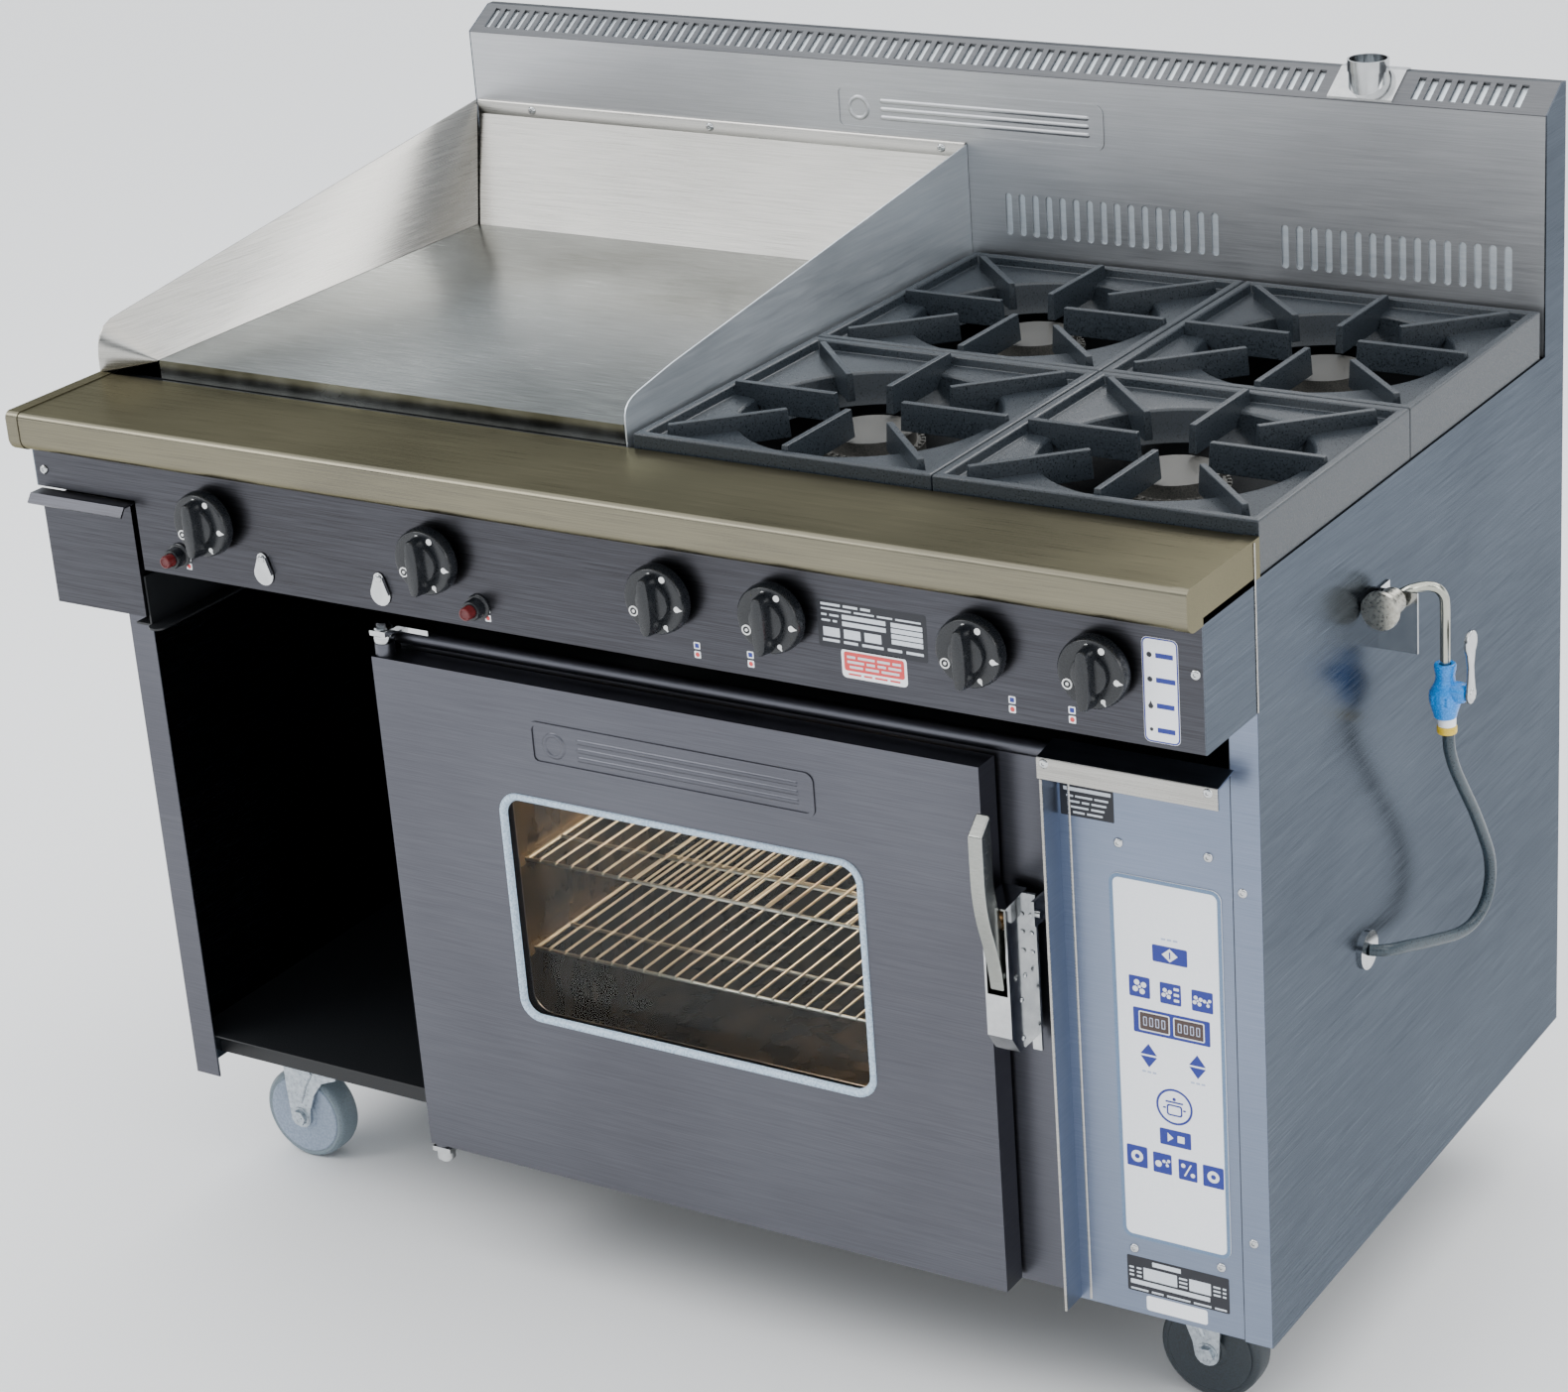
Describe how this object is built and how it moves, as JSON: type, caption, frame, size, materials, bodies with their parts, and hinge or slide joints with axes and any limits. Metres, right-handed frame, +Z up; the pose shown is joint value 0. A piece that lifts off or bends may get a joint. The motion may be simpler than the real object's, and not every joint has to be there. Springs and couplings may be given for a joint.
{
  "type": "commercial gas range",
  "caption": "Floor-standing kitchen gas range with a griddle, open burners with cast pan supports, side-hung oven door, open pan bay and swivel castors.",
  "frame": {"origin": "centre of the outline on the floor, hose left out", "axes": "+X to the right seen from the front, -Y towards the cook, +Z up"},
  "size_m": [1.292, 0.839, 1.1055],
  "materials": {
    "stainless": "fine horizontal brushed stainless steel sheet",
    "bright_steel": "polished or bright plated steel",
    "griddle_steel": "ground steel cooking plate with a faint patina",
    "cast_iron": "black enamelled iron casting, slightly grainy",
    "black_paint": "matt black stove paint",
    "zinc": "bright zinc plating",
    "burner_iron": "bare iron casting",
    "brass": "turned brass and plain pipe",
    "black_plastic": "semi-gloss moulded black plastic",
    "red_plastic": "dark red moulded plastic",
    "pad_film": "satin printed polyester film",
    "door_glass": "clear toughened glass",
    "gasket_silicone": "pale blue-grey silicone",
    "seal_rope": "woven glass-fibre rope",
    "wheel_grey": "grey elastomer tread",
    "wheel_black": "black elastomer tread",
    "hose_rubber": "smooth black rubber hose",
    "torch_blue": "blue plastic-coated tap on plated tube"
  },
  "bodies": {
    "range": {"base_frame": "black_paint", "side_panel_left": "stainless", "side_panel_right": "stainless", "rear_panel": "stainless", "splashback": "stainless", "vent_cap": "stainless", "flue_spigot": "bright_steel", "griddle_plate": "griddle_steel", "griddle_box": "black_paint", "griddle_guards": "stainless", "burners": "burner_iron", "spill_tray": "black_paint", "front_rail": "stainless", "control_panel": "stainless", "gas_train": "brass", "igniter_bodies": "black_plastic", "cabinet_linings": "black_paint", "oven_liner": "bright_steel", "oven_front_frame": "stainless", "control_cover": "stainless", "touchpad": "pad_film", "door_hardware": "bright_steel", "screws": "zinc", "side_fittings": "bright_steel", "torch": "torch_blue", "hose": "hose_rubber", "castor_plates": "zinc"},
    "trivet_front_left_body": {"trivet_front_left": "cast_iron"},
    "trivet_front_right_body": {"trivet_front_right": "cast_iron"},
    "trivet_rear_left_body": {"trivet_rear_left": "cast_iron"},
    "trivet_rear_right_body": {"trivet_rear_right": "cast_iron"},
    "knob_1_body": {"knob_1": "black_plastic"},
    "knob_2_body": {"knob_2": "black_plastic"},
    "knob_3_body": {"knob_3": "black_plastic"},
    "knob_4_body": {"knob_4": "black_plastic"},
    "knob_5_body": {"knob_5": "black_plastic"},
    "knob_6_body": {"knob_6": "black_plastic"},
    "igniter_button_left_body": {"igniter_button_left": "red_plastic"},
    "igniter_button_right_body": {"igniter_button_right": "red_plastic"},
    "port_cover_left_body": {"port_cover_left": "bright_steel"},
    "port_cover_right_body": {"port_cover_right": "bright_steel"},
    "grease_drawer_body": {"grease_drawer": "stainless"},
    "door": {"door_panel": "stainless", "door_liner": "stainless", "door_glass": "door_glass", "window_gasket": "gasket_silicone", "door_seal": "seal_rope", "latch_case": "bright_steel"},
    "handle": {"door_handle": "bright_steel"},
    "oven_rack_lower_body": {"oven_rack_lower": "bright_steel"},
    "oven_rack_upper_body": {"oven_rack_upper": "bright_steel"},
    "castor_fork_fl_body": {"castor_fork_fl": "zinc"},
    "castor_fork_fr_body": {"castor_fork_fr": "zinc"},
    "castor_fork_rl_body": {"castor_fork_rl": "zinc"},
    "castor_fork_rr_body": {"castor_fork_rr": "zinc"},
    "castor_wheel_fl_body": {"castor_wheel_fl": "wheel_grey"},
    "castor_wheel_fr_body": {"castor_wheel_fr": "wheel_black"},
    "castor_wheel_rl_body": {"castor_wheel_rl": "wheel_grey"},
    "castor_wheel_rr_body": {"castor_wheel_rr": "wheel_black"},
    "torch_lever_body": {"torch_lever": "bright_steel"}
  },
  "joints": [
    {"name": "trivet_front_left_lift", "type": "slide", "parent": "range", "child": "trivet_front_left_body", "axis": [0, 0, 1], "range_m": [0, 0.12]},
    {"name": "trivet_front_right_lift", "type": "slide", "parent": "range", "child": "trivet_front_right_body", "axis": [0, 0, 1], "range_m": [0, 0.12]},
    {"name": "trivet_rear_left_lift", "type": "slide", "parent": "range", "child": "trivet_rear_left_body", "axis": [0, 0, 1], "range_m": [0, 0.12]},
    {"name": "trivet_rear_right_lift", "type": "slide", "parent": "range", "child": "trivet_rear_right_body", "axis": [0, 0, 1], "range_m": [0, 0.12]},
    {"name": "knob_1_turn", "type": "hinge", "parent": "range", "child": "knob_1_body", "pos_m": [-0.434, -0.4045, 0.789], "axis": [0, -1, 0], "range_deg": [0, 240]},
    {"name": "knob_2_turn", "type": "hinge", "parent": "range", "child": "knob_2_body", "pos_m": [-0.18, -0.4045, 0.789], "axis": [0, -1, 0], "range_deg": [0, 240]},
    {"name": "knob_3_turn", "type": "hinge", "parent": "range", "child": "knob_3_body", "pos_m": [0.065, -0.4045, 0.789], "axis": [0, -1, 0], "range_deg": [0, 240]},
    {"name": "knob_4_turn", "type": "hinge", "parent": "range", "child": "knob_4_body", "pos_m": [0.179, -0.4045, 0.789], "axis": [0, -1, 0], "range_deg": [0, 240]},
    {"name": "knob_5_turn", "type": "hinge", "parent": "range", "child": "knob_5_body", "pos_m": [0.37, -0.4045, 0.789], "axis": [0, -1, 0], "range_deg": [0, 240]},
    {"name": "knob_6_turn", "type": "hinge", "parent": "range", "child": "knob_6_body", "pos_m": [0.482, -0.4045, 0.789], "axis": [0, -1, 0], "range_deg": [0, 240]},
    {"name": "igniter_left_push", "type": "slide", "parent": "range", "child": "igniter_button_left_body", "axis": [0, 1, 0], "range_m": [0, 0.006], "stiffness_N_per_m": 600},
    {"name": "igniter_right_push", "type": "slide", "parent": "range", "child": "igniter_button_right_body", "axis": [0, 1, 0], "range_m": [0, 0.006], "stiffness_N_per_m": 600},
    {"name": "port_cover_left_swing", "type": "hinge", "parent": "range", "child": "port_cover_left_body", "pos_m": [-0.3795, -0.3865, 0.759], "axis": [0, -1, 0], "range_deg": [-100, 100]},
    {"name": "port_cover_right_swing", "type": "hinge", "parent": "range", "child": "port_cover_right_body", "pos_m": [-0.2455, -0.3865, 0.759], "axis": [0, -1, 0], "range_deg": [-100, 100]},
    {"name": "grease_drawer_slide", "type": "slide", "parent": "range", "child": "grease_drawer_body", "axis": [0, -1, 0], "range_m": [0, 0.35]},
    {"name": "door_swing", "type": "hinge", "parent": "range", "child": "door", "pos_m": [-0.311, -0.3125, 0.4], "axis": [0, 0, 1], "range_deg": [-110, 0]},
    {"name": "handle_pull", "type": "hinge", "parent": "door", "child": "handle", "pos_m": [0.345, -0.3305, 0.46], "axis": [1, 0, 0], "range_deg": [0, 15], "stiffness_Nm_per_rad": 2},
    {"name": "oven_rack_lower_slide", "type": "slide", "parent": "range", "child": "oven_rack_lower_body", "axis": [0, -1, 0], "range_m": [0, 0.07]},
    {"name": "oven_rack_upper_slide", "type": "slide", "parent": "range", "child": "oven_rack_upper_body", "axis": [0, -1, 0], "range_m": [0, 0.07]},
    {"name": "castor_fl_swivel", "type": "hinge", "parent": "range", "child": "castor_fork_fl_body", "pos_m": [-0.54, -0.201, 0.1], "axis": [0, 0, 1], "continuous": true},
    {"name": "castor_fl_roll", "type": "hinge", "parent": "castor_fork_fl_body", "child": "castor_wheel_fl_body", "pos_m": [-0.58, -0.201, 0.05], "axis": [0, 1, 0], "continuous": true},
    {"name": "castor_fr_swivel", "type": "hinge", "parent": "range", "child": "castor_fork_fr_body", "pos_m": [0.432, -0.201, 0.1], "axis": [0, 0, 1], "continuous": true},
    {"name": "castor_fr_roll", "type": "hinge", "parent": "castor_fork_fr_body", "child": "castor_wheel_fr_body", "pos_m": [0.472, -0.201, 0.05], "axis": [0, 1, 0], "continuous": true},
    {"name": "castor_rl_swivel", "type": "hinge", "parent": "range", "child": "castor_fork_rl_body", "pos_m": [-0.54, 0.2895, 0.1], "axis": [0, 0, 1], "continuous": true},
    {"name": "castor_rl_roll", "type": "hinge", "parent": "castor_fork_rl_body", "child": "castor_wheel_rl_body", "pos_m": [-0.5, 0.2895, 0.05], "axis": [0, 1, 0], "continuous": true},
    {"name": "castor_rr_swivel", "type": "hinge", "parent": "range", "child": "castor_fork_rr_body", "pos_m": [0.432, 0.2895, 0.1], "axis": [0, 0, 1], "continuous": true},
    {"name": "castor_rr_roll", "type": "hinge", "parent": "castor_fork_rr_body", "child": "castor_wheel_rr_body", "pos_m": [0.392, 0.2895, 0.05], "axis": [0, 1, 0], "continuous": true},
    {"name": "torch_lever_turn", "type": "hinge", "parent": "range", "child": "torch_lever_body", "pos_m": [0.64, -0.0135, 0.646], "axis": [1, 0, 0], "range_deg": [0, 90]}
  ]
}
